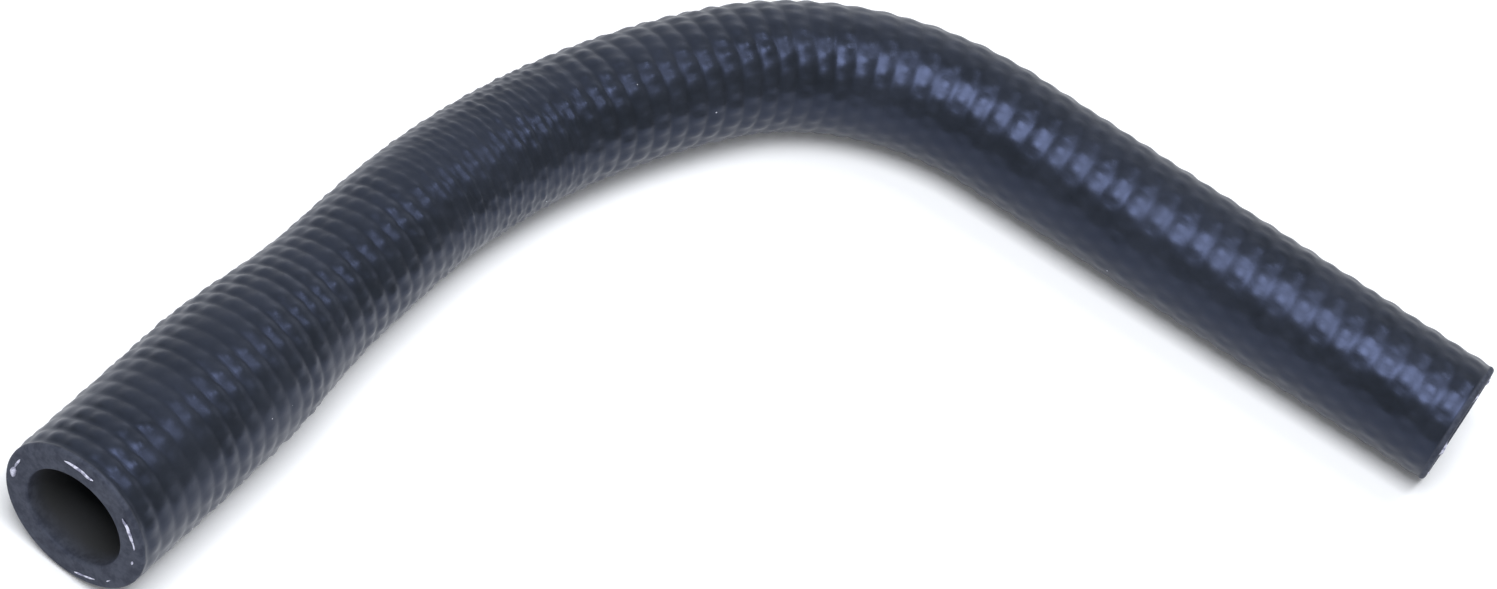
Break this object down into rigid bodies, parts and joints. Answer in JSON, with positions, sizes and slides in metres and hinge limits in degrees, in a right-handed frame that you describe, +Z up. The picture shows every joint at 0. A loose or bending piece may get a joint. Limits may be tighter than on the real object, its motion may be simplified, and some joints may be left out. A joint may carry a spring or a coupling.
{
  "type": "moulded coolant hose",
  "caption": "Moulded rubber coolant hose with an enlarged end, a long gentle bend and a tighter bend, open bore right through.",
  "frame": {"origin": "on the ground, under the middle of the hose's box", "axes": "+Z up with the hose lying on its side, +X along the small leg and out of the small end, +Y away from the large end, which opens towards -Y"},
  "size_m": [0.1994, 0.2058, 0.0306],
  "materials": {
    "rubber": "satin black cover rubber, ribbed by the reinforcement beneath it"
  },
  "bodies": {
    "root": {"hose_body": "rubber"}
  },
  "joints": []
}
